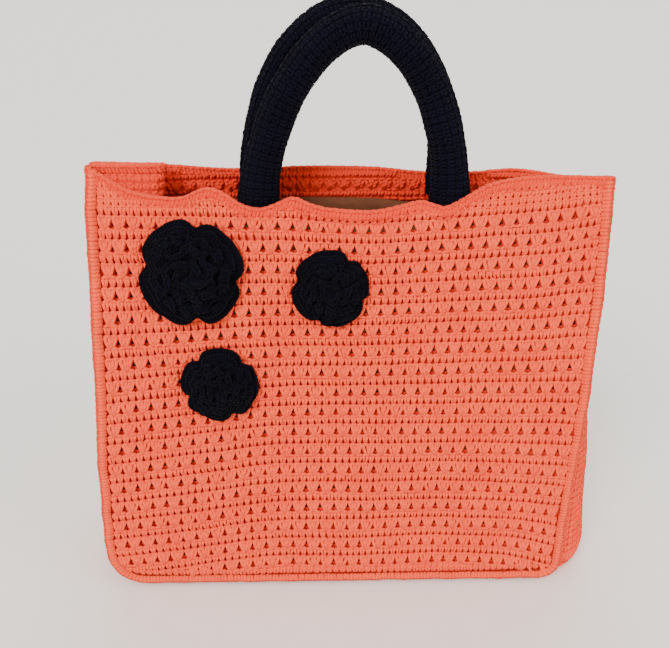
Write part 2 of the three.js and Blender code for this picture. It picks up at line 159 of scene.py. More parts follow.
lamps = (
    # name, place, strength, width in degrees, colour
    ("key_lamp", (-0.85, -1.6, 1.65), 3.3, 26, (1.0, 0.96, 0.90)),
    ("side_lamp", (1.6, -1.1, 1.2), 1.2, 40, (1.0, 0.98, 0.96)),
    ("back_lamp", (0.2, 1.6, 1.8), 0.8, 40, (1.0, 1.0, 1.0)),
)
aim = (0.0, 0.0, 0.22)
for name, place, strength, width, color in lamps:
    data = bpy.data.lights.new(name, "SUN")
    data.energy = strength
    data.angle = math.radians(width)
    data.color = color
    lamp = bpy.data.objects.new(name, data)
    bpy.context.collection.objects.link(lamp)
    lamp.location = place
    away = Vector([place[i] - aim[i] for i in range(3)])
    lamp.rotation_euler = away.to_track_quat("Z", "Y").to_euler()

world = bpy.data.worlds.new("even_light")
world.use_nodes = True
background = world.node_tree.nodes["Background"]
background.inputs["Color"].default_value = (1.0, 0.98, 0.95, 1)
background.inputs["Strength"].default_value = 1.0
bpy.context.scene.world = world


# The front panel is crocheted flat in one piece of coral wool and acrylic yarn: 18 rows of
# open V stitches, 33 repeats wide, each with a row of single crochet after it. A few closed
# rounds level its upper edge, and one more follows its bottom seam.
bag_width = 394
bag_height = 370
base_depth = 108
mouth_depth = 58
mouth_setback = 10
sideways = 6
rim_dip = 27.2
belly = 6
wall = 3.6
clearance = 0.35
pleat_gap = 1.3
seam_rise = 14
left_corner = 24
right_corner = 11
corner_ease = {-1: 1.5, 1: 0.8}
band_width = 9.2
band_depth = 6.8
band_lap = 3
rim_height = 5
rim_seat = 0.8

half_width = bag_width / 2
half_base = base_depth / 2
edge_step = band_depth / 2 + clearance + wall / 2
half_pressed = edge_step + (wall + pleat_gap) / 2

side_form = {
    "height": (0, 0.18, 0.38, 0.56, 0.76, 0.89, 1),
    "depth": (0.95, 0.98, 1.0, 0.92, 0.6, 0.27, 0),
    "left_reach": (1.033, 1.033, 1.02, 1.001, 1.001, 1.01, 1.006),
    "right_reach": (0.94, 0.938, 0.941, 0.95, 0.97, 0.987, 0.994),
    "left_bow": (0.2, 0.22, 0.14, -0.08, -0.6, -0.86, -0.97),
    "right_bow": (0.76, 0.6, 0.44, 0.1, -0.45, -0.74, -0.84),
}
front_rim = {
    "across": (-1, -0.95, -0.86, -0.74, -0.66, -0.61, -0.555, -0.5, -0.43, -0.36, -0.29, -0.24,
               -0.19, -0.12, 0, 0.1, 0.2, 0.26, 0.31, 0.36, 0.43, 0.53, 0.68, 0.88, 1),
    "dip": (0, 0.34, 0.62, 0.75, 0.73, 0.57, 0.47, 0.61, 0.91, 1.01, 0.85, 0.70,
            0.82, 0.98, 1.07, 1.06, 0.90, 0.81, 0.90, 0.99, 0.76, 0.39, 0.23, 0.26, 0.34),
}
back_rim = {
    "across": (-1, -0.75, -0.48, -0.17, 0.1, 0.25, 0.4, 0.52, 0.67, 0.77, 0.88, 1),
    "dip": (0, 0.18, 0.36, 0.31, 0.35, 0.46, 0.52, 0.48, 0.36, 0.41, 0.52, 0.52),
}
front_dents = (
    # across, height, push, spread
    (-0.2, 0.42, 0.45, 0.34),
    (0.55, 0.62, 0.5, 0.26),
    (0.82, 0.3, -0.35, 0.2),
    (-0.72, 0.2, -0.3, 0.24),
)


def lerp(low, high, share):
    return low + (high - low) * share


def smooth(share):
    share = np.clip(share, 0, 1)
    return share * share * (3 - 2 * share)


def read_table(table, key, column, at):
    """Reads a column on a smooth curve through its values."""
    keys = np.array(table[key], float)
    values = np.array(table[column], float)
    row = np.clip(np.searchsorted(keys, at) - 1, 0, len(keys) - 2)
    slopes = np.gradient(values, 1.0)
    slopes[1:-1] = (values[2:] - values[:-2]) / (keys[2:] - keys[:-2])
    slopes[0] = (values[1] - values[0]) / (keys[1] - keys[0])
    slopes[-1] = (values[-1] - values[-2]) / (keys[-1] - keys[-2])
    span = keys[row + 1] - keys[row]
    t = np.clip((at - keys[row]) / span, 0, 1)
    low = values[row] * (2 * t**3 - 3 * t**2 + 1) + slopes[row] * span * (t**3 - 2 * t**2 + t)
    return low + values[row + 1] * (3 * t**2 - 2 * t**3) + slopes[row + 1] * span * (t**3 - t**2)


def middle_x(z):
    return sideways * (z / bag_height - 0.5)


def middle_y(z):
    return mouth_setback * z / bag_height


def corner_radius(side):
    """The lower left corner is rounder than the right one."""
    return np.where(np.asarray(side) < 0, left_corner, right_corner).astype(float)


def side_reach(side, z):
    """How far the side seam lies from the middle."""
    share = np.maximum(z, seam_rise + corner_radius(side)) / bag_height
    left = read_table(side_form, "height", "left_reach", share)
    right = read_table(side_form, "height", "right_reach", share)
    return half_width * np.where(side < 0, left, right)


def across_at(x, z):
    """Where x lies between the side seams, from -1 at the left one to 1 at the right one."""
    from_middle = x - middle_x(z)
    return from_middle / side_reach(from_middle, z)


def place_across(across, z):
    return middle_x(z) + across * side_reach(across, z)


def corner_half_depth(z):
    """Half the distance between the front's and the back's side edges."""
    return lerp(half_pressed, half_base, read_table(side_form, "height", "depth", z / bag_height))


def half_depth(x, z):
    across = np.minimum(1, np.abs(across_at(x, z)))
    share = z / bag_height
    middle = lerp(half_base, mouth_depth / 2, share) + belly * np.sin(np.pi * share)
    return lerp(corner_half_depth(z), middle, 1 - across**2.5)


def front_y(x, z):
    across = across_at(x, z)
    edge = np.maximum(0, 1 - across**4)
    push = 0
    for at, height, depth, spread in front_dents:
        dx = (across - at) / spread
        dz = (z - height * bag_height) / (spread * half_width)
        push = push + depth * np.exp(-(dx * dx + dz * dz))
    return middle_y(z) - half_depth(x, z) + push * belly * edge


def back_y(x, z):
    return middle_y(z) + half_depth(x, z)


def on_surface(surface, outward, x, z, lift):
    """A point that lies lift mm out of a panel."""
    step = 1.0
    slope_x = (surface(x + step, z) - surface(x - step, z)) / (2 * step)
    slope_z = (surface(x, z + step) - surface(x, z - step)) / (2 * step)
    reach = outward * lift / np.sqrt(1 + slope_x**2 + slope_z**2)
    return np.stack((x - slope_x * reach, surface(x, z) + reach, z - slope_z * reach), axis=-1)


def rim_top(table, across):
    """The height of a wavy upper edge."""
    return bag_height - rim_dip * read_table(table, "across", "dip", across)


def panel_bottom(across):
    """The height of a panel's lower edge, which turns up at its rounded corners."""
    radius = corner_radius(across)
    into = np.maximum(0, radius - side_reach(across, seam_rise) * (1 - np.abs(across)))
    return seam_rise + radius - np.sqrt(np.maximum(0, radius**2 - into**2))


def soft_noise(seed, x, y):
    """Smooth noise from -1 to 1 with about one bump a unit, the same on every run."""
    grid = np.random.default_rng(seed).uniform(-1, 1, (64, 64))
    column = np.floor(x).astype(int)
    row = np.floor(y).astype(int)
    fx = smooth(x - column)
    fy = smooth(y - row)
    total = 0
    for i, j, share in ((0, 0, (1 - fx) * (1 - fy)), (1, 0, fx * (1 - fy)),
                        (0, 1, (1 - fx) * fy), (1, 1, fx * fy)):
        total = total + share * grid[(row + j) % 64, (column + i) % 64]
    return total


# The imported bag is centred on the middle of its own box.
base_low, base_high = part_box("gusset_base")
base_middle = (side_reach(1, seam_rise) - side_reach(-1, seam_rise)) / 2 + middle_x(seam_rise)
centring = np.array((
    (base_low.x + base_high.x) / 2 / mm - base_middle,
    (base_low.y + base_high.y) / 2 / mm - middle_y(seam_rise),
    0,
))


def make_piece(name, points, faces, yarn_map=None):
    """A smooth mesh from points in millimetres and four-cornered faces, turned outwards."""
    corners = points[faces]
    first = np.einsum("ij,ij->i", corners[:, 0], np.cross(corners[:, 1], corners[:, 2]))
    second = np.einsum("ij,ij->i", corners[:, 0], np.cross(corners[:, 2], corners[:, 3]))
    if (first + second).sum() < 0:
        faces = faces[:, ::-1]
        yarn_map = None if yarn_map is None else yarn_map[:, ::-1]
    mesh = bpy.data.meshes.new(name)
    mesh.vertices.add(len(points))
    mesh.vertices.foreach_set("co", ((points + centring) * mm).ravel())
    mesh.loops.add(faces.size)
    mesh.loops.foreach_set("vertex_index", faces.ravel())
    mesh.polygons.add(len(faces))
    mesh.polygons.foreach_set("loop_start", np.arange(0, faces.size, 4))
    mesh.update(calc_edges=True)
    mesh.shade_smooth()
    if yarn_map is not None:
        layer = mesh.uv_layers.new(name="yarn")
        layer.data.foreach_set("uv", yarn_map.ravel())
    piece = bpy.data.objects.new(name, mesh)
    bpy.context.collection.objects.link(piece)
    return piece


def yarn_piece(name, strands, lay):
    """Joins strands of yarn in one mesh. A strand is a run of points in flat fabric, in mm
    across, up and out, with its radius, and lay puts flat fabric in its place on the bag."""
    sides = 4
    turn = 2 * np.pi * (np.arange(sides) + 0.5) / sides
    points = []
    faces = []
    maps = []
    start = 0
    for paths, radius in strands:
        along = np.gradient(paths, axis=1)
        along /= np.linalg.norm(along, axis=2, keepdims=True)
        side = np.cross(along, (0.0, 0.0, 1.0))
        side /= np.linalg.norm(side, axis=2, keepdims=True)
        up = np.cross(side, along)
        reach = np.broadcast_to(radius, paths.shape[1])[None, :, None, None]
        ring = paths[:, :, None] + reach * (
            np.cos(turn)[:, None] * side[:, :, None] + np.sin(turn)[:, None] * up[:, :, None]
        )
        index = start + np.arange(ring[..., 0].size).reshape(ring.shape[:3])
        after = np.roll(index, -1, axis=2)
        quads = np.stack((index[:, :-1], index[:, 1:], after[:, 1:], after[:, :-1]), axis=-1)
        steps = np.linalg.norm(np.diff(paths, axis=1), axis=2)
        length = np.pad(np.cumsum(steps, axis=1), ((0, 0), (1, 0))) * mm
        low = np.broadcast_to(length[:, :-1, None], quads.shape[:3])
        high = np.broadcast_to(length[:, 1:, None], quads.shape[:3])
        left = np.broadcast_to(np.arange(sides) / sides, quads.shape[:3])
        right = left + 1 / sides
        lie = np.stack((low, left, high, left, high, right, low, right), axis=-1)
        caps = np.concatenate((index[:, 0], index[:, -1, ::-1]))
        points.append(ring.reshape(-1, 3))
        faces += [quads.reshape(-1, 4), caps]
        maps += [lie.reshape(-1, 4, 2), np.zeros((len(caps), 4, 2))]
        start += ring[..., 0].size
    return make_piece(name, lay(np.concatenate(points)), np.concatenate(faces),
                      np.concatenate(maps))


def give_wall(piece, thickness):
    """Makes an open sheet a wall, with half its thickness on each side."""
    bpy.ops.object.select_all(action="DESELECT")
    piece.select_set(True)
    bpy.context.view_layer.objects.active = piece
    modifier = piece.modifiers.new("wall", "SOLIDIFY")
    modifier.thickness = thickness * mm
    modifier.offset = 0
    bpy.ops.object.modifier_apply(modifier="wall")


ply_pitch = 0.0034
ply_relief = 0.00022
hair_relief = 0.0006
# How far the painted shade darkens the flanks and underside of each strand against its top.
painted_shade_share = 0.7


def yarn_finish(name, dark, light, sheen, gloss):
    """Plied yarn: soft patches of colour, painted shade that darkens the flanks of each strand
    where strands meet, a twist that runs round each strand and fine hair.
    """
    finish = Finish(name)
    place = finish.place()
    patches = finish.noise(place, 45.0, 2.0)
    fibres = finish.noise(place, 1500.0, 2.0)
    lie = {"Vector": finish.node("UVMap", {"uv_map": "yarn"})}
    along = finish.node("SeparateXYZ", None, lie)
    around = finish.node("SeparateXYZ", None, lie, output=1)
    # Painted shade: the colour runs darker from the top of each strand round to its flanks and
    # underside, as if shaded in the creases between strands.
    painted_shade_crest = (around * (2 * math.pi) + math.pi / 4).sine()
    tone_and_painted_shade = patches * 0.35 + fibres * 0.65 + (painted_shade_crest - 1.0) * painted_shade_share
    spread = finish.node("ValToRGB", {"stops": ((0.2, dark), (0.6, light))}, {"Fac": tone_and_painted_shade})
    twist = (along * (2 * math.pi / ply_pitch) + around * (4 * math.pi)).sine()
    hair = finish.relief(fibres, hair_relief, 0.7)
    ply = finish.relief(twist, ply_relief, 0.8, hair)
    return finish.close({
        "Base Color": spread,
        "Roughness": 0.88,
        "Specular IOR Level": gloss,
        "Sheen Weight": sheen,
        "Sheen Roughness": 0.5,
        "Normal": ply,
    })


def put(piece, finish, slot, *nodes):
    """Gives a piece its finish, hangs it on the root body and hides the imported parts that it
    stands for.
    """
    piece.data.materials.append(finish)
    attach(piece, "root")
    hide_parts(*nodes)
    return piece


coral_yarn = yarn_finish("coral_yarn", (0.80, 0.042, 0.013, 1), (1.0, 0.102, 0.033, 1),
                         0.04, 0.1)
# Painted shade: a darker, redder copy of the coral yarn for the sheets under the stitches,
# coloured as if they lay in the shade between strands.
painted_shade_coral = yarn_finish("painted_shade_coral", (0.55, 0.028, 0.01, 1), (0.75, 0.05, 0.02, 1), 0, 0.08)

repeat_width = 11.7
repeat_height = 16.5
stitch_width = repeat_width / 2
panel_repeats = 33
inner_depth = 1.7
lining_drop = 25
side_margin = 5.5
strand_low = 0.4
strand_high = 1.8
rows_overlap = 2.4
edging_rounds = 5
edging_height = 5.6
low_groove = 2.4
low_squash = 0.74
low_round = 5.9
low_round_end = 0.95
low_round_fade = 0.02
low_round_share = 0.97
groove_close = 1.4
groove_close_from = -0.2
groove_close_over = 0.3
web_depth = -1.9
web_reach = 1.014
web_rise = 3.0
web_drop = 1.5
web_wall = 0.5
web_hole = ((3.8, 8.8), (7.9, 8.8), (5.85, 12.9))
hole_share = 0.636
# The heights of three rows of holes: the lowest one, the middle one and the last one.
middle_row = 9
last_row = 17
front_lines = {
    "across": (-1, -0.93, -0.33, 0.02, 0.46, 0.78, 0.9, 1),
    "bottom": (8.0, 9.5, 28.0, 26.9, 29.8, 24.8, 18.3, 12.0),
    "middle": (182.5, 183.5, 193.2, 194.2, 195.5, 196.7, 197.9, 198.5),
    "top": (329.3, 329.5, 330.7, 326.8, 330.6, 333.1, 335.3, 336.5),
}
back_lines = {
    "across": (-1, 0, 1),
    "bottom": (26.0, 28.0, 26.0),
    "middle": (192.0, 194.0, 192.0),
    "top": (330.0, 330.5, 330.0),
}


def lay_on_panel(surface, outward, lines, seed):
    """Flat fabric to the bag: mm across from the left edge, up from the first row, and out."""
    def lay(flat):
        repeat = flat[..., 0] / repeat_width
        row = flat[..., 1] / repeat_height
        lift = flat[..., 2]
        drift = soft_noise(seed, repeat / 2.3, row / 1.6)
        sway = soft_noise(seed + 1, repeat / 7.0, np.floor(row + 0.03) * 1.37)
        rise = soft_noise(seed + 2, repeat / 2.6 + 9, row / 2.1)
        swell = soft_noise(seed + 3, repeat / 1.6, row / 1.2 + 5)
        moved = repeat + 0.06 * drift + 0.08 * sway
        across = -outward * (1 - side_margin / half_width) * (2 * moved / panel_repeats - 1)
        count = row + 0.03 * rise - hole_share
        bottom = read_table(lines, "across", "bottom", across)
        middle = read_table(lines, "across", "middle", across)
        top = read_table(lines, "across", "top", across)
        from_middle = count - middle_row
        from_last = count - last_row
        z = (bottom * from_middle * from_last / (middle_row * last_row)
             + middle * count * from_last / (middle_row * (middle_row - last_row))
             + top * count * from_middle / (last_row * (last_row - middle_row)))
        x = place_across(across, z)
        return on_surface(surface, outward, x, z, lift + 0.3 * swell)
    return lay


def close_share(grid):
    """How far each hole is drawn shut, from 0 to 1, the same for every strand round it."""
    value = np.sin(grid[:, 0] * 12.9898 + grid[:, 1] * 78.233) * 43758.5453
    return np.clip((value - np.floor(value)) ** 2 * 1.25, 0, 1)


def strand_grid(points, columns, rows, seed, loose=0.16, bend=None,
                pitch=(repeat_width, repeat_height)):
    """Copies of one strand over a grid of repeats, each a little out of true."""
    base = np.array(points, float)
    grid = np.stack(np.meshgrid(columns, rows, indexing="ij"), axis=-1).reshape(-1, 2)
    offset = np.zeros((len(grid), 1, 3))
    offset[:, 0, 0] = grid[:, 0] * pitch[0]
    offset[:, 0, 1] = grid[:, 1] * pitch[1]
    draw = np.random.default_rng(seed)
    shake = draw.normal(0, loose, (len(grid), 1, 3)) + draw.normal(
        0, loose * 0.7, (len(grid), len(base), 3))
    shake[..., 2] *= 0.6
    paths = base + offset + shake
    if bend is not None:
        paths = paths + close_share(grid)[:, None, None] * np.array(bend, float)
    return paths


def mirror(points):
    return [(repeat_width - u, v, w) for u, v, w in points]


single_legs = (
    ((2.4, -0.7, -0.4), (2.0, 1.9, 0.6), (1.45, 5.2, 0.5)),
    ((3.9, -0.7, -0.4), (4.2, 1.9, 0.6), (4.55, 5.2, 0.5)),
)
leg_radius = (1.1, 1.45, 2.15)
ridge_loop = ((0.3, 5.2, 0.0), (2.95, 6.7, 0.8), (5.6, 5.6, 0.0))
outer_arm = ((0.8, 6.0, 0.1), (1.9, 9.0, 0.65), (3.4, 12.0, 0.7), (4.6, 15.2, 0.2))
inner_arm = ((0.2, 6.8, 0.3), (0.65, 11.0, 0.8), (1.6, 15.0, 0.3))
arm_bend = ((0, 0, 0), (1.1, 0.2, 0), (0.9, 0, 0), (0, 0, 0))
upper_loop = ((0.4, 14.6, 0.1), (3.0, 15.7, 0.9), (5.5, 14.8, 0.1))
arm_radius = 1.95
loop_radius = 1.65


def shifted(points, across, up=0.0):
    return [(u + across, v + up, w) for u, v, w in points]


def turned_in(strands, depth):
    """The same strands on the fabric's other face."""
    return [(paths * (1, 1, -1) - (0, 0, depth), radius) for paths, radius in strands]


def keep_inside(paths, lay, lowest, highest):
    """Drops the strands that lie outside a panel's edges."""
    centre = lay(paths.mean(axis=1))
    across = across_at(centre[:, 0], centre[:, 2])
    inside = (np.abs(across) < 1) & (centre[:, 2] > lowest(across) + strand_low)
    return paths[inside & (centre[:, 2] < highest(across) + strand_high)]


def single_rows(columns, rows, seed):
    """Single crochet: two legs that spread upwards to each loop."""
    strands = []
    for k, leg in enumerate(single_legs):
        for half in (0.0, stitch_width):
            strands.append((strand_grid(shifted(leg, half), columns, rows, seed + k), leg_radius))
    for half in (0.0, stitch_width):
        strands.append((strand_grid(shifted(ridge_loop, half), columns, rows, seed + 7),
                        loop_radius))
    return strands


def open_rows(columns, rows, seed):
    """V stitches: two double arms that lean apart and leave a three-cornered hole."""
    left_bend = [(-u, v, w) for u, v, w in arm_bend]
    strands = []
    for arm, bend in ((outer_arm, arm_bend), (mirror(outer_arm), left_bend)):
        strands.append((strand_grid(arm, columns, rows, seed, 0.14, bend), arm_radius))
    for arm in (inner_arm, mirror(inner_arm)):
        strands.append((strand_grid(arm, columns, rows, seed + 3), arm_radius))
    for half in (0.0, stitch_width):
        strands.append((strand_grid(shifted(upper_loop, half), columns, rows, seed + 5),
                        loop_radius))
    return strands


def pierced_grid(columns, row_count, open_count):
    """A panel's ground as flat fabric, in points and faces, with open holes in the lowest
    open_count rows."""
    flat_points = []
    lookup = {}
    faces = []

    def corner(u, v):
        key = (round(u, 3), round(v, 3))
        if key not in lookup:
            lookup[key] = len(flat_points)
            flat_points.append((u, v, web_depth))
        return lookup[key]

    left, right = web_hole[0][0], web_hole[1][0]
    for column in columns:
        for row in range(-1, row_count + 2):
            u0 = column * repeat_width
            v0 = row * repeat_height
            u1 = u0 + repeat_width
            v1 = v0 + repeat_height
            base, tip = v0 + web_hole[0][1], v0 + web_hole[2][1]
            a, b, c = (corner(u0 + u, v0 + v) for u, v in web_hole)
            low = [corner(u0 + u, v0) for u in (0, left, right, repeat_width)]
            high = [corner(u0 + u, v1) for u in (0, left, right, repeat_width)]
            west = (corner(u0, base), corner(u0, tip))
            east = (corner(u1, base), corner(u1, tip))
            faces += [
                (low[0], low[1], a, west[0]), (low[1], low[2], b, a),
                (low[2], low[3], east[0], b), (west[0], a, c, west[1]),
                (b, east[0], east[1], c), (west[1], c, high[1], high[0]),
                (c, east[1], high[3], high[2]), (c, high[2], high[1]),
            ]
            if column < 0 or column >= panel_repeats or row < 0 or row >= open_count:
                faces.append((a, b, c))
    return np.array(flat_points), faces


def panel_web(name, lay, surface, outward, top_edge, flat, faces):
    """A panel's ground laid on the bag and trimmed to its edges, with its thickness."""
    placed = lay(flat)
    across = np.clip(across_at(placed[:, 0], placed[:, 2]), -web_reach, web_reach)
    low_edge = panel_bottom(across) - web_drop
    high_edge = top_edge(across) + web_rise
    below = placed[:, 2] < low_edge
    above = placed[:, 2] > high_edge
    beyond = np.abs(across) > 0.9999 * web_reach
    z = np.clip(placed[:, 2], low_edge, high_edge)
    snapped = on_surface(surface, outward, place_across(across, z), z, flat[:, 2])
    kept = []
    for face in faces:
        ids = list(face)
        if not (below[ids].all() or above[ids].all() or beyond[ids].all()):
            kept.append(face)
    mesh = bpy.data.meshes.new(name)
    mesh.from_pydata(((snapped + centring) * mm).tolist(), [], kept)
    mesh.update()
    mesh.shade_smooth()
    web = bpy.data.objects.new(name, mesh)
    bpy.context.collection.objects.link(web)
    give_wall(web, web_wall)
    return web


def make_panel(side, surface, outward, rim_table, lines, row_count, open_count, seed):
    """Web, rows of stitches and edging of one panel. The lowest open_count rows have open
    holes, and in the others the stitches at the back close them."""
    node = side + "_panel"
    lay = lay_on_panel(surface, outward, lines, seed)

    def top_edge(across):
        return rim_top(rim_table, across) - rim_height - rim_seat

    def lining_edge(across):
        return rim_top(rim_table, across) - lining_drop

    def rows_end(across):
        over_round = smooth((low_round_end - np.abs(across)) / low_round_fade)
        return panel_bottom(across) + low_round * over_round - rows_overlap

    def lay_low_round(flat):
        """The lowest round to the bag: it follows the bottom seam, not the rows over it."""
        repeat = flat[..., 0] / repeat_width
        across = -outward * (1 - side_margin / half_width) * (2 * repeat / panel_repeats - 1)
        closed = groove_close * smooth((groove_close_from - across) / groove_close_over)
        z = panel_bottom(across) + flat[..., 1] - closed
        return on_surface(surface, outward, place_across(across, z), z, flat[..., 2])

    def trim(strands, lowest=rows_end):
        kept = [(keep_inside(paths, lay, lowest, top_edge), r) for paths, r in strands]
        return [(paths, r) for paths, r in kept if len(paths)]

    columns = np.arange(-1, panel_repeats + 1)
    rows = np.arange(0, row_count)
    singles = yarn_piece(node + "_single_rows", trim(single_rows(columns, rows, seed)), lay)
    opens = yarn_piece(node + "_open_rows", trim(open_rows(columns, rows, seed + 20)), lay)
    edge_rows = row_count + np.arange(edging_rounds) * (edging_height / repeat_height)
    edging = trim(single_rows(columns, edge_rows, seed + 40))
    low_stitches = []
    for paths, radius in single_rows(columns, [low_groove / repeat_height], seed + 41):
        share = paths[:, 0, 0] / (repeat_width * panel_repeats)
        paths = paths[np.abs(share - 0.5) < low_round_share / 2]
        low_stitches.append((paths * (1, low_squash, 1), radius))
    inner_rows = [row_count - 2, row_count - 1]
    inner = turned_in(
        single_rows(columns, inner_rows, seed + 50) + open_rows(columns, inner_rows, seed + 51)
        + single_rows(columns, edge_rows, seed + 52), inner_depth)
    rounds = yarn_piece(node + "_edging_rounds", edging, lay)
    lowest_round = yarn_piece(node + "_lowest_round", low_stitches, lay_low_round)
    inside = yarn_piece(node + "_inner_stitches", trim(inner, lining_edge), lay)
    web = panel_web(node + "_web", lay, surface, outward, top_edge,
                    *pierced_grid(columns, row_count, open_count))
    # The ground sheet takes the painted-shade coral, darker as if in shade under the stitches.
    put(web, painted_shade_coral, "coral_yarn", node)
    stitches = [singles, opens, rounds, lowest_round, inside]
    for piece in stitches:
        put(piece, coral_yarn, "coral_yarn", node)


make_panel("front", front_y, -1, front_rim, front_lines, 18, 18, 100)


# The back panel is the same work as the front, one row taller, because its upper edge hardly
# sags. Its inside shows above the lining.
make_panel("back", back_y, 1, back_rim, back_lines, 19, 17, 200)


# The gusset is one long strip of plain single crochet, 18 stitches wide, that runs down the
# left side, along the base and up the right side. Towards the mouth it folds in as a pleat.
gusset_stitches = 18
gusset_width = gusset_stitches * stitch_width
plain_height = 6.6
plain_loop = ((0.3, 4.9, 0.1), (2.9, 6.2, 0.85), (5.5, 5.1, 0.1))
floor_rest = 0.1
pleat_length = 70
pleat_inner_depth = 0.4
gusset_web_columns = 37
gusset_web_lift = -0.6
gusset_web_wall = 1.6
seam_share_step = 0.012


def plain_rows(columns, rows, seed):
    """Plain single crochet, one stitch after the other."""
    pitch = (stitch_width, plain_height)
    strands = []
    for k, leg in enumerate(single_legs):
        strands.append((strand_grid(leg, columns, rows, seed + k, pitch=pitch), leg_radius))
    strands.append((strand_grid(plain_loop, columns, rows, seed + 2, pitch=pitch), loop_radius))
    return strands


def corner_top(side):
    return min(float(rim_top(front_rim, side)), float(rim_top(back_rim, side)))


def seam_run(side):
    """Lengths of the straight side seam and of the rounded corner under it."""
    radius = float(corner_radius(side))
    straight = corner_top(side) - rim_height - rim_seat - seam_rise - radius
    return straight, radius * math.pi / 2


def seam_place(side, run):
    """The seam after a run of mm from the mouth: x from the middle, z, how far round the
    corner it has turned as an angle."""
    straight, rounded = seam_run(side)
    radius = float(corner_radius(side))
    low = seam_rise + radius
    angle = np.clip((run - straight) / radius, 0, math.pi / 2)
    on_base = np.maximum(0, run - straight - rounded)
    z = np.where(run < straight, low + straight - run, low - radius * np.sin(angle))
    reach = side_reach(side, z) - radius * (1 - np.cos(angle)) - on_base
    return side * reach, z, angle


def fold(side, z, turned, g):
    """The gusset's cross-section: how far out it lies, and where between its two seams."""
    half_chord = corner_half_depth(z) - edge_step
    column = "left_bow" if side < 0 else "right_bow"
    side_bow = read_table(side_form, "height", column, z / bag_height) * half_base
    base_bow = seam_rise - wall / 2 - band_lap
    share = smooth(turned) ** corner_ease[side]
    bow = lerp(base_bow, side_bow, share)
    radius = float(corner_radius(side))
    steep = np.maximum(0.1, np.sin(math.pi / 2 * (1 - turned)))
    bow = np.minimum(bow, (seam_rise + radius - wall / 2) / steep - radius - band_lap)
    flat = lerp(half_chord - base_bow, 0, share)
    sign = np.sign(g)
    size = np.abs(g)
    quarter = math.pi / 2
    legs = np.maximum(0, -bow - half_chord)
    arc = quarter * half_chord
    tip_share = arc / (arc + legs)
    angle = quarter * np.minimum(1, size / tip_share)
    past = np.clip((1 - size) / np.maximum(1e-6, 1 - tip_share), 0, 1)
    pleat_out = np.where(size < tip_share, -legs - half_chord * np.cos(angle), -legs * past)
    pleat_y = sign * np.where(size < tip_share, half_chord * np.sin(angle), half_chord)
    rounded = half_chord - flat
    flat_share = flat / (flat + quarter * (rounded + np.abs(bow)) * 0.5)
    angle = quarter * np.clip((size - flat_share) / (1 - flat_share), 0, 1)
    on_flat = size < flat_share
    bow_out = np.where(on_flat, bow, bow * np.cos(angle))
    level = flat * size / np.maximum(1e-6, flat_share)
    bow_y = sign * np.where(on_flat, level, flat + rounded * np.sin(angle))
    pleated = bow < -half_chord
    return band_lap + np.where(pleated, pleat_out, bow_out), np.where(pleated, pleat_y, bow_y)


def either_side(g):
    """Two places on the gusset's cross-section, just before g and just after it."""
    return np.clip(g - seam_share_step, -1, 1), np.clip(g + seam_share_step, -1, 1)


def gusset_middle(side, run, g):
    """A point of the gusset at run mm from the mouth and g from seam to seam, -1 to 1."""
    x, z, angle = seam_place(side, run)
    out, y = fold(side, z, 1 - angle / (math.pi / 2), g)
    return np.stack((
        x + middle_x(z) + side * np.cos(angle) * out,
        middle_y(z) + y,
        z - np.sin(angle) * out,
    ), axis=-1)


def lay_on_gusset(side, seed):
    """Flat strip to the side: mm across the strip, mm up from the base, and out."""
    length = sum(seam_run(side))

    def lay(flat):
        across, up = flat[..., 0], flat[..., 1]
        g = 2 * across / gusset_width - 1
        g = g + 0.02 * soft_noise(seed, across / 14, up / 17)
        g = np.clip(g, -1, 1)
        run = length - up + 0.9 * soft_noise(seed + 1, across / 19, up / 15)
        lift = flat[..., 2] + 0.3 * soft_noise(seed + 2, across / 11, up / 11)
        step = 0.6
        along = gusset_middle(side, run + step, g) - gusset_middle(side, run - step, g)
        near, far = either_side(g)
        over = gusset_middle(side, run, far) - gusset_middle(side, run, near)
        normal = side * np.cross(along, over)
        normal /= np.linalg.norm(normal, axis=-1, keepdims=True)
        place = gusset_middle(side, run, g) + normal * lift[..., None]
        place[..., 2] = np.maximum(place[..., 2], floor_rest)
        return place
    return lay


def gusset_web(name, lay, length, rows):
    """The close ground of one length of the gusset, under its stitches."""
    across = np.linspace(0, gusset_width, gusset_web_columns)
    up = np.linspace(0, length, rows)
    flat = np.stack(np.meshgrid(across, up, [gusset_web_lift], indexing="ij"), axis=-1)
    flat = flat.reshape(-1, 3)
    index = np.arange(len(flat)).reshape(gusset_web_columns, rows)
    faces = np.stack((index[:-1, :-1], index[1:, :-1], index[1:, 1:], index[:-1, 1:]), axis=-1)
    web = make_piece(name, lay(flat), faces.reshape(-1, 4))
    give_wall(web, gusset_web_wall)
    return web


def cut_to(length, strands):
    """Drops the strands that run past the upper end of the strip."""
    return [(paths[paths[:, :, 1].max(axis=1) < length], radius) for paths, radius in strands]


for side, name in ((-1, "gusset_left"), (1, "gusset_right")):
    lay = lay_on_gusset(side, 300 + side)
    length = sum(seam_run(side))
    web = gusset_web(name + "_web", lay, length, rows=90)
    columns = np.arange(gusset_stitches)
    rows = np.arange(int(length / plain_height) + 1)
    strands = cut_to(length, plain_rows(columns, rows, 310 + side))
    outside = yarn_piece(name + "_stitches", strands, lay)
    pleat_rows = rows[rows * plain_height > length - pleat_length]
    strands = cut_to(length, plain_rows(columns, pleat_rows, 320 + side))
    inside = yarn_piece(name + "_inner_stitches", turned_in(strands, pleat_inner_depth), lay)
    # The ground sheet takes the painted-shade coral, darker as if in shade under the stitches.
    put(web, painted_shade_coral, "coral_yarn", name)
    for piece in (outside, inside):
        put(piece, coral_yarn, "coral_yarn", name)
    length * mm


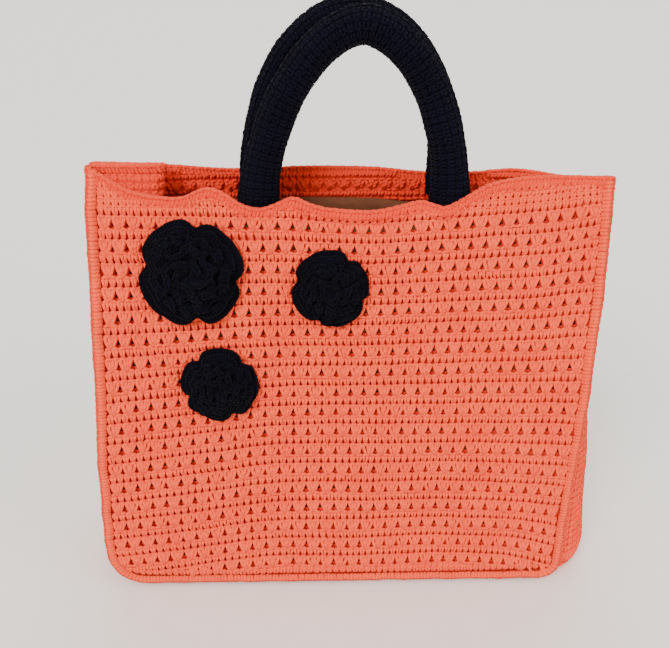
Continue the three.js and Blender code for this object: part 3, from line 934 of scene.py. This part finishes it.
def lay_on_base(flat):
    """Flat strip to the underside: mm across the strip, mm from the left corner, and out."""
    g = np.clip(2 * flat[..., 0] / gusset_width - 1, -1, 1)
    left = -side_reach(-1, seam_rise) + left_corner
    x = left + flat[..., 1]
    z = np.full_like(x, seam_rise)
    out, y = fold(1, z, np.zeros_like(x), g)
    near, far = either_side(g)
    out_near, y_near = fold(1, z, np.zeros_like(x), near)
    out_far, y_far = fold(1, z, np.zeros_like(x), far)
    slope = np.stack((y_far - y_near, out_far - out_near), axis=-1)
    slope /= np.linalg.norm(slope, axis=-1, keepdims=True)
    lift = flat[..., 2]
    return np.stack((
        x + middle_x(z),
        middle_y(z) + y - slope[..., 1] * lift,
        np.maximum(z - out - slope[..., 0] * lift, floor_rest),
    ), axis=-1)


base_length = float(side_reach(1, seam_rise) - right_corner
                    + side_reach(-1, seam_rise) - left_corner)
base_squash = 0.5
base_radius = 1.3
base_web = gusset_web("gusset_base_web", lay_on_base, base_length, rows=60)
base_rows = np.arange(int(base_length / plain_height))
base_strands = [(paths * (1, 1, base_squash), np.minimum(radius, base_radius))
                for paths, radius in plain_rows(np.arange(gusset_stitches), base_rows, 330)]
base_stitches = yarn_piece("gusset_base_stitches", base_strands, lay_on_base)
# The ground sheet takes the painted-shade coral, darker as if in shade under the stitches.
put(base_web, painted_shade_coral, "coral_yarn", "gusset_base")
put(base_stitches, coral_yarn, "coral_yarn", "gusset_base")


# Each band is a round of joining stitches worked through panel and gusset together, from one
# corner of the mouth round the base to the other, so it stands up as a thick ridge.
joint_pitch = 5.8
groove_depth = 1.2
groove_from = 0.6
groove_over = 0.25
groove_top = 0.75
groove_fade = 2.5
band_end = 4.5
band_line_samples = 260
band_core_steps = 300
band_core_sides = 10
band_core_lift = -0.7
joint_strands = (
    # shape as mm along, mm round from the outermost line towards the panel, and out; radii
    (((1.7, 12.6, 0.0), (1.5, 8.8, -1.1), (1.4, 4.4, -1.4)), (2.1, 2.3, 2.25)),
    (((4.1, 12.6, 0.0), (4.3, 8.8, -1.1), (4.4, 4.4, -1.4)), (2.1, 2.3, 2.25)),
    (((0.0, 0.5, -1.3), (2.4, 2.9, -0.9), (6.0, 2.1, -1.3)), (1.6, 1.6, 1.6)),
    (((0.0, -0.5, -1.3), (2.4, -2.9, -0.9), (6.0, -2.1, -1.3)), (1.6, 1.6, 1.6)),
    (((1.4, -4.2, -1.4), (2.0, -7.0, -1.5), (2.3, -10.0, -2.2)), (1.7, 1.7, 1.4)),
    (((4.4, -4.2, -1.4), (3.9, -7.0, -1.5), (3.6, -10.0, -2.2)), (1.7, 1.7, 1.4)),
)


def band_line(table):
    """Points along a band, from the left corner of the mouth to the right one."""
    rows = []
    for side in (-1, 1):
        total = sum(seam_run(side)) + float(side_reach(side, seam_rise) - corner_radius(side))
        above = float(rim_top(table, side)) - corner_top(side)
        run = np.linspace(-band_end - above, total, band_line_samples)
        x, z, angle = seam_place(side, run)
        part = np.stack((x, z, side * np.cos(angle), -np.sin(angle)), axis=-1)
        rows.append(part if side < 0 else part[::-1][1:])
    line = np.concatenate(rows)
    steps = np.hypot(np.diff(line[:, 0]), np.diff(line[:, 1]))
    return line, np.concatenate(([0.0], np.cumsum(steps)))


def lay_on_band(facing, seed):
    """Flat strip to a band: mm along it, angle round its core from the outermost line, out."""
    line, length = band_line(front_rim if facing < 0 else back_rim)

    def lay(flat):
        along = np.clip(flat[..., 0], 0, length[-1])
        x, z, out_x, out_z = (np.interp(along, length, line[:, k]) for k in range(4))
        lift = flat[..., 2] + 0.25 * soft_noise(seed, along / 9, flat[..., 1])
        towards_panel = smooth((flat[..., 1] / math.pi - groove_from) / groove_over)
        low_down = smooth(groove_fade * (groove_top - z / bag_height))
        lift = lift - groove_depth * towards_panel * low_down
        out = band_width / 2 + clearance + (band_width / 2 + lift) * np.cos(flat[..., 1])
        out = out + 0.5 * soft_noise(seed + 1, along / 15, 0 * along)
        deep = (band_depth / 2 + lift) * np.sin(flat[..., 1])
        return np.stack((
            x + middle_x(z) + out_x * out,
            middle_y(z) + facing * (corner_half_depth(z) + deep),
            z + out_z * out,
        ), axis=-1)
    return lay, length[-1]


def tube(name, lay, length, steps, sides, span, lift):
    """A closed core along a path that lay follows: mm along, place round it and out."""
    along = np.linspace(0, length, steps)
    turn = np.arange(sides) * span / sides
    grid = np.stack(np.meshgrid(along, turn, [lift], indexing="ij"), axis=-1)
    ring = lay(grid.reshape(-1, 3))
    index = np.arange(len(ring)).reshape(steps, sides)
    after = np.roll(index, -1, axis=1)
    faces = [np.stack((index[:-1], index[1:], after[1:], after[:-1]), axis=-1).reshape(-1, 4)]
    for end, order in ((0, 1), (-1, -1)):
        row = index[end]
        for k in range(sides // 2 - 1):
            quad = np.array([[row[k], row[k + 1], row[sides - 2 - k], row[sides - 1 - k]]])
            faces.append(quad[:, ::order])
    return make_piece(name, ring, np.concatenate(faces))


for facing, name in ((-1, "front_band"), (1, "back_band")):
    lay, length = lay_on_band(facing, 400 + facing)
    core = tube(name + "_core", lay, length, band_core_steps, band_core_sides, 2 * math.pi,
                band_core_lift)
    count = round(length / joint_pitch)
    strands = [(strand_grid(shape, np.arange(count), [0], 410 + facing + k,
                            pitch=(length / count, 1)), radius)
               for k, (shape, radius) in enumerate(joint_strands)]

    def lay_flat(flat, lay=lay):
        return lay(flat / (1, band_width / 2, 1))

    stitches = yarn_piece(name + "_stitches", strands, lay_flat)
    for piece in (core, stitches):
        put(piece, coral_yarn, "coral_yarn", name)


# The rim is the last round of stitches, worked along all four upper edges. From above it
# shows as a chain of small V loops.
chain_pitch = 5.8
chain_loose = 0.12
rim_overhang = 7.5
rim_turn_from = 0.955
rim_turn_over = 0.045
pleat_turn_from = 0.9
pleat_turn_over = 0.1
rim_line_samples = 260
rim_core_steps = 420
rim_core_sides = 6
rim_core_half_width = 1.5
rim_core_half_height = 2.6
rim_core_drop = 0.3
rim_core_gap = 0.5


def rim_line():
    """Points along the mouth and the length up to each: the front's edge and the right pleat,
    then the back's edge and the left pleat."""
    share = np.linspace(-1, 1, rim_line_samples)
    low = rim_height / 2
    parts = []
    for surface, table, side in ((front_y, front_rim, 1), (back_y, back_rim, -1)):
        z = rim_top(table, share) - low
        x = place_across(share, z)
        edge = np.stack((x, surface(x, z), z), axis=-1)[::side]
        turned = smooth((np.abs(share) - rim_turn_from) / rim_turn_over)
        over_band = rim_overhang * turned * np.sign(share)
        edge[:, 0] += over_band[::side]
        height = corner_top(side) - low
        run = np.full_like(share, corner_top(side) - rim_height - rim_seat - height)
        pleat = gusset_middle(side, run, side * share)
        front, back = float(rim_top(front_rim, side)), float(rim_top(back_rim, side))
        pleat[:, 2] = lerp(front, back, (side * share + 1) / 2) - low
        turned = smooth((np.abs(share) - pleat_turn_from) / pleat_turn_over)
        pleat[:, 0] += side * (rim_overhang - band_lap) * turned
        parts += [edge, pleat]
    line = np.concatenate(parts)
    line = np.concatenate((line, line[:1]))
    length = np.concatenate(([0.0], np.cumsum(np.linalg.norm(np.diff(line, axis=0), axis=1))))
    keep = np.concatenate(([True], np.diff(length) > 1e-4))
    return line[keep], length[keep]


rim_points, rim_length = rim_line()


def rim_at(run):
    """A point of the rim's line after a run of mm along it."""
    at = np.mod(run, rim_length[-1])
    return np.stack([np.interp(at, rim_length, rim_points[:, k]) for k in range(3)], axis=-1)


def lay_on_rim(flat):
    """Chain to the rim: mm along, mm to the outside and mm up from its middle."""
    step = 2.0
    at = np.mod(flat[..., 0], rim_length[-1])
    place = rim_at(at)
    tangent = (rim_at(at + step) - rim_at(at - step))[..., :2]
    tangent /= np.maximum(1e-6, np.linalg.norm(tangent, axis=-1, keepdims=True))
    place[..., 0] += tangent[..., 1] * flat[..., 1]
    place[..., 1] -= tangent[..., 0] * flat[..., 1]
    place[..., 2] += flat[..., 2]
    return place


chain_shapes = (
    # shape as mm along, outwards and up; radius
    (((0.0, 0.3, 2.3), (1.8, 1.3, 2.6), (4.6, 1.6, 2.4), (7.0, 0.9, 1.6)), 1.35),
    (((0.0, -0.3, 2.3), (1.8, -1.3, 2.6), (4.6, -1.6, 2.4), (7.0, -0.9, 1.6)), 1.35),
    (((0.6, 1.0, -4.6), (1.4, 1.6, -1.6), (2.2, 1.3, 1.4)), 1.6),
    (((3.3, 1.0, -4.6), (4.1, 1.6, -1.6), (5.0, 1.3, 1.4)), 1.6),
    (((0.6, -1.0, -4.6), (1.4, -1.6, -1.6), (2.2, -1.3, 1.4)), 1.6),
    (((3.3, -1.0, -4.6), (4.1, -1.6, -1.6), (5.0, -1.3, 1.4)), 1.6),
    (((0.4, 1.6, -6.6), (2.2, 2.5, -5.9), (4.6, 2.3, -4.7)), 1.15),
)
chain_count = round(rim_length[-1] / chain_pitch)
chain_strands = [(strand_grid(shape, np.arange(chain_count), [0], 500 + k, chain_loose,
                              pitch=(rim_length[-1] / chain_count, 1)), radius)
                 for k, (shape, radius) in enumerate(chain_shapes)]
rim_stitches = yarn_piece("rim_stitches", chain_strands, lay_on_rim)


def lay_round_rim(flat):
    """The oval core of the rim: mm along and an angle round it."""
    turn = flat[..., 1]
    outwards = rim_core_half_width * np.cos(turn)
    up = rim_core_half_height * np.sin(turn) - rim_core_drop
    return lay_on_rim(np.stack((flat[..., 0], outwards, up), axis=-1))


rim_core = tube("rim_core", lay_round_rim, rim_length[-1] - rim_core_gap, rim_core_steps,
                rim_core_sides, 2 * math.pi, 0)
for piece in (rim_core, rim_stitches):
    put(piece, coral_yarn, "coral_yarn", "rim")


# The lining is a pouch of thin brown cotton, sewn in by hand a little below the rim, so that
# it hangs in small slack folds.
lining_gap = 0.8
lining_wall = 0.7
lining_slack = 0.55
lining_columns = 144
lining_levels = 44
thread_pitch = 0.0011


def lining_ring(rise, turn, extra):
    """One round of the pouch: rise from its floor to its edge, and extra mm further in."""
    foot = wall + clearance
    across = np.cos(turn)
    sine = np.sin(turn)
    deep = np.sign(sine) * np.minimum(1, 2 * np.abs(sine)) ** 0.35
    front = sine < 0
    top = np.where(front, rim_top(front_rim, across * 0.8), rim_top(back_rim, across * 0.8))
    z = lerp(foot, top - lining_drop, rise)
    left = read_table(side_form, "height", "left_bow", z / bag_height)
    right = read_table(side_form, "height", "right_bow", z / bag_height)
    bow = np.where(across < 0, left, right) * half_base
    radius = corner_radius(across)
    corner = np.maximum(0, seam_rise + radius - z)
    cut = radius - np.sqrt(np.maximum(0, radius**2 - corner**2))
    reach = side_reach(across, z) + np.minimum(0, bow) - (wall + cut + extra)
    x = middle_x(z) + reach * across
    surface = np.where(front, front_y(x, z), back_y(x, z))
    slack = 1.1 + soft_noise(600, turn * 7, rise * 3) + 0.5 * soft_noise(601, turn * 17, rise * 9)
    slack = slack * smooth(rise * 4) * lining_slack
    depth = np.abs(surface - middle_y(z)) - wall / 2 - lining_gap - extra - slack - 0.5
    return np.stack((x, middle_y(z) + depth * deep, z), axis=-1)


lining_rises = np.concatenate(([0, 0, 0.01, 0.025], np.linspace(0.05, 1, lining_levels)))
lining_insets = np.zeros(len(lining_rises))
lining_insets[:5] = [seam_rise * share for share in (2.6, 1.3, 0.7, 0.45, 0.3)]
lining_turns = 2 * np.pi * (np.arange(lining_columns) + 0.5) / lining_columns
lining_grid = np.concatenate([
    lining_ring(np.full(lining_columns, rise), lining_turns, extra)
    for rise, extra in zip(lining_rises, lining_insets)
])
lining_index = np.arange(len(lining_grid)).reshape(len(lining_rises), lining_columns)
lining_after = np.roll(lining_index, -1, axis=1)
lining_faces = [np.stack((lining_index[:-1], lining_after[:-1], lining_after[1:],
                          lining_index[1:]), axis=-1).reshape(-1, 4)]
floor_row = lining_index[0]
last = lining_columns - 1
lining_faces.append(np.array([
    (floor_row[k], floor_row[last - k], floor_row[last - k - 1], floor_row[k + 1])
    for k in range(last // 2)
]))
lining = make_piece("lining_cloth", lining_grid, np.concatenate(lining_faces))
give_wall(lining, lining_wall)

cotton = Finish("brown_cotton")
cotton_place = cotton.place()
cotton_split = [cotton.node("SeparateXYZ", None, {"Vector": cotton_place}, output=k)
                for k in range(3)]
thread = 2 * math.pi / thread_pitch
weave = (cotton_split[0] * thread).sine() * (cotton_split[2] * thread).sine()
cotton_tone = cotton.noise(cotton_place, 220.0, 3.0) * 0.6 + (weave + 1.0) * 0.2
brown_cotton = cotton.close({
    "Base Color": cotton.blend(cotton_tone, (0.085, 0.02, 0.005, 1), (0.20, 0.058, 0.016, 1)),
    "Roughness": 0.82,
    "Sheen Weight": 0.05,
    "Normal": cotton.relief(weave, 0.00018, 0.7),
})
put(lining, brown_cotton, "brown_lining", "lining")


# Each handle is a crocheted navy tube over a soft filling. Its ends are pressed flat and sewn
# to the inside of the rim.
handle_diameter = 29
handle_spacing = 148
handle_rise = 126
handle_tuck = 18
foot_width = 33
foot_depth = 20
foot_blend = 34
handle_gap = 1
rim_thickness = 4.2
handle_rows = 14
handle_stitch = 5.6
handle_yarn = 0.8
handle_girth = handle_rows * plain_height
arch_samples = 600
tuck_samples = 20
filling_steps = 110
filling_sides = 24
filling_lift = 0.35
cover_seat = 1.9
handle_shapes = (
    # name, surface, rim, facing, wider, roundness, lean, rise
    ("handle_front", front_y, front_rim, -1, 0, 1.8, 6, 1),
    ("handle_back", back_y, back_rim, 1, 1.5, 1.95, 0, 0.94),
)
navy_yarn = yarn_finish("navy_yarn", (0.0007, 0.0006, 0.003, 1), (0.0021, 0.0017, 0.0105, 1),
                        0.015, 0.08)


def foot_seat(surface, table, facing, x):
    """The y of the rim's inside, where a handle's foot at x is sewn on."""
    z = float(rim_top(table, float(across_at(np.array(x), bag_height))))
    places = [float(surface(np.array(x + reach * foot_width), z - drop))
              for reach in (-0.1, 0, 0.1) for drop in (rim_height / 2, handle_tuck / 2)]
    inner = max(places) if facing < 0 else min(places)
    return inner - facing * (rim_thickness + clearance) / 2


def handle_line(name, surface, table, facing, wider, roundness, lean, rise):
    """Rows along the tube: x, z, y, half its width, half its depth."""
    half_spacing = handle_spacing / 2 + wider
    middle = float(middle_x(bag_height))
    ends = (middle - half_spacing, middle + half_spacing)
    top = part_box(name)[1].z / mm
    rim = top - handle_diameter / 2 - handle_rise * rise
    seats = [foot_seat(surface, table, facing, x) for x in ends]
    angle = np.pi * (1 - np.cos(np.pi * np.linspace(0, 1, arch_samples))) / 2
    power = 2 / roundness
    climb = np.sin(angle) ** power
    x = middle - half_spacing * np.sign(np.cos(angle)) * np.abs(np.cos(angle)) ** power
    x = x + lean * climb
    z = rim + handle_rise * rise * climb
    tuck = np.linspace(handle_tuck, 0, tuck_samples)[:-1]
    x = np.concatenate((np.full_like(tuck, x[0]), x, np.full_like(tuck, x[-1])))
    z = np.concatenate((z[0] - tuck, z, z[-1] - tuck[::-1]))
    round_share = smooth((z - rim) / foot_blend)
    half_across = lerp(foot_width, handle_diameter, round_share) / 2
    half_deep = lerp(foot_depth, handle_diameter, round_share) / 2
    seat = np.where(x < middle, seats[0], seats[1]) - facing * half_deep
    upright = middle_y(rim) + facing * (handle_diameter + handle_gap) / 2
    y = lerp(seat, upright, round_share)
    return np.stack((x, z, y, half_across, half_deep), axis=-1)


for name, surface, table, facing, wider, roundness, lean, rise in handle_shapes:
    line = handle_line(name, surface, table, facing, wider, roundness, lean, rise)
    run = np.concatenate(([0.0], np.cumsum(np.hypot(np.diff(line[:, 0]), np.diff(line[:, 1])))))

    def lay_on_handle(flat, line=line, run=run, seed=700 + facing):
        """Flat cover to a handle: mm along it, mm round it and out."""
        at = np.clip(flat[..., 0], 0, run[-1])
        x, z, y, half_across, half_deep = (np.interp(at, run, line[:, k]) for k in range(5))
        step = 2.5
        after, before = np.minimum(at + step, run[-1]), np.maximum(at - step, 0)
        dx = np.interp(after, run, line[:, 0]) - np.interp(before, run, line[:, 0])
        dz = np.interp(after, run, line[:, 1]) - np.interp(before, run, line[:, 1])
        size = np.hypot(dx, dz)
        turn = 2 * np.pi * flat[..., 1] / handle_girth
        uneven = 0.4 * soft_noise(seed, at / 16, 3 * np.cos(turn) + 5)
        lift = flat[..., 2] - cover_seat + uneven
        reach = (half_across + lift) * np.cos(turn)
        return np.stack((
            x + dz / size * reach,
            y + (half_deep + lift) * np.sin(turn),
            z - dx / size * reach,
        ), axis=-1)

    count = round(run[-1] / handle_stitch)
    core = tube(name + "_filling", lay_on_handle, run[-1], filling_steps, filling_sides,
                handle_girth, filling_lift)
    longer = run[-1] / count / stitch_width
    rows = plain_rows(np.arange(count), np.arange(handle_rows), 710 + facing)
    strands = [(paths * (longer, 1, 1), np.array(radius) * handle_yarn) for paths, radius in rows]
    cover = yarn_piece(name + "_stitches", strands, lay_on_handle)
    for piece in (core, cover):
        put(piece, navy_yarn, "navy_yarn", name)


# Each flower is made of ruffled rounds of navy crochet, sewn one over the other on the front,
# the widest at the bottom. Every petal's stitches fan out from its root to a looped edge.
flowers = (
    # name, diameter, relief, across, height, notches between the petals in degrees
    ("flower_large", 84, 19, -0.63, 0.795, (82, 172, 275, 351)),
    ("flower_medium", 62, 16, -0.088, 0.763, (58, 165, 249, 340)),
    ("flower_small", 63, 16, -0.537, 0.552, (44, 128, 200, 292)),
)
flower_tiers = (
    # root, edge, root lift, edge lift, ruffles, meander, ripple (all but ruffles as shares),
    # the last one a plain domed ground under the others
    (0.50, 1.00, 0.10, 0.26, 7, 0.0, 0.02),
    (0.45, 0.87, 0.30, 0.46, 9, 0.015, 0.03),
    (0.36, 0.70, 0.45, 0.66, 14, 0.055, 0.05),
    (0.20, 0.50, 0.58, 0.82, 9, 0.075, 0.05),
    (0.012, 0.27, 0.66, 0.90, 5, 0.08, 0.03),
    (0.012, 0.94, 0.55, 0.0, 1, 0.0, 0.0),
)
rib_pitch = 2.4
rib_radius = 1.08
rib_shares = np.array((0.04, 0.35, 0.62, 0.84, 1.0))
edge_rounds = ((0.62, 1.0), (0.99, 0.7))
notch_depth = 0.15
notch_width = 9
petal_web_steps = 5
petal_web_wall = 0.9
flower_fill = 0.965
flower_seat = 0.6


def petal_outline(turn, notches):
    """How far the petals reach round the flower, as a share, with a notch between each two."""
    reach = np.ones_like(turn)
    for notch in notches:
        away = np.mod(np.degrees(turn) - notch + 180, 360) - 180
        reach = reach - notch_depth * np.exp(-((away / notch_width) ** 2))
    return reach


def make_flower(name, diameter, relief, across, height, notches, seed):
    """One flower's petals, a tier at a time, and the web that they stand on."""
    radius = flower_fill * diameter / 2
    centre_z = height * bag_height
    centre_x = float(place_across(across, centre_z))
    petal_strands = []
    web_points = []
    web_faces = []
    web_start = 0
    draw = np.random.default_rng(seed)
    for k, (root, edge, low, high, ruffles, meander, ripple) in enumerate(flower_tiers):
        phase = 1.7 * k + seed

        def lay(strip, k=k, root=root, edge=edge, low=low, high=high, ruffles=ruffles,
                meander=meander, ripple=ripple, phase=phase):
            """A round of petals on the bag: angle, share from root to edge, lift."""
            turn = strip[..., 0]
            out = strip[..., 1]
            ring_x = 1.6 * np.cos(turn)
            ring_z = 1.6 * np.sin(turn)
            uneven = soft_noise(seed + 7 * k, ring_x + 9, ring_z + 9)
            finer = soft_noise(seed + 7 * k + 1, 2.2 * ring_x + 9, 2.2 * ring_z + 9)
            phase_here = ruffles * turn + phase + 1.6 * uneven
            wave = np.sin(phase_here)
            sway = np.sin(2 * phase_here)
            smooth_round = k < 2 or low > high
            outline = petal_outline(turn, notches) if smooth_round else 1 + 0.12 * uneven
            reach = radius * lerp(root, edge * outline + meander * wave + 0.04 * finer, out)
            if k == 0:
                reach = np.minimum(reach, radius * outline)
            swing = turn + 0.55 * meander / edge * sway * out**2 * 2
            bulge = out**2 if low > high else np.sin(np.minimum(1, out * 1.15) * math.pi / 2)
            droop = 0.22 * np.maximum(0, out - 0.7) / 0.3
            lift = relief * (lerp(low, high, bulge) - droop * (high - low)
                             + ripple * np.cos(phase_here) * out + 0.08 * finer * out)
            lift = np.maximum(lift, 0.9) + strip[..., 2]
            x = centre_x + reach * np.cos(swing)
            z = centre_z + reach * np.sin(swing)
            return on_surface(front_y, -1, x, z, wall / 2 + flower_seat + lift)

        longer = 1 + 4 * meander / edge
        count = round(2 * math.pi * edge * radius * longer / rib_pitch)
        angles = 2 * math.pi * np.arange(count) / count
        if low < high:
            ribs = np.zeros((count, len(rib_shares), 3))
            ribs[:, :, 0] = angles[:, None] + draw.normal(0, 0.008, (count, 1))
            ribs[:, :, 1] = rib_shares
            ribs[:, :, 2] = 0.4 + draw.normal(0, 0.12, (count, 1))
            petal_strands.append((lay(ribs), rib_radius))
            loops = np.zeros((count, 3, 3))
            loops[:, :, 0] = angles[:, None] + 2 * math.pi / count * np.array((0, 0.5, 1))
            for share, rise in edge_rounds:
                loops[:, :, 1] = share
                loops[:, 1, 1] += 0.02
                loops[:, :, 2] = rise
                petal_strands.append((lay(loops), rib_radius))
        shares = np.linspace(0, 1, petal_web_steps)
        grid = np.stack(np.meshgrid(angles, shares, [0.0], indexing="ij"), axis=-1)
        index = web_start + np.arange(count * petal_web_steps).reshape(count, petal_web_steps)
        after = np.roll(index, -1, axis=0)
        web_faces.append(np.stack((index[:, :-1], after[:, :-1], after[:, 1:], index[:, 1:]),
                                  axis=-1).reshape(-1, 4))
        web_points.append(lay(grid.reshape(-1, 3)))
        web_start += count * petal_web_steps
    petals = yarn_piece(name + "_petals", petal_strands, lambda placed: placed)
    web = make_piece(name + "_web", np.concatenate(web_points), np.concatenate(web_faces))
    give_wall(web, petal_web_wall)
    for piece in (web, petals):
        put(piece, navy_yarn, "navy_yarn", name)
    return web, petals


for k, flower in enumerate(flowers):
    web, petals = make_flower(*flower, 800 + 100 * k)
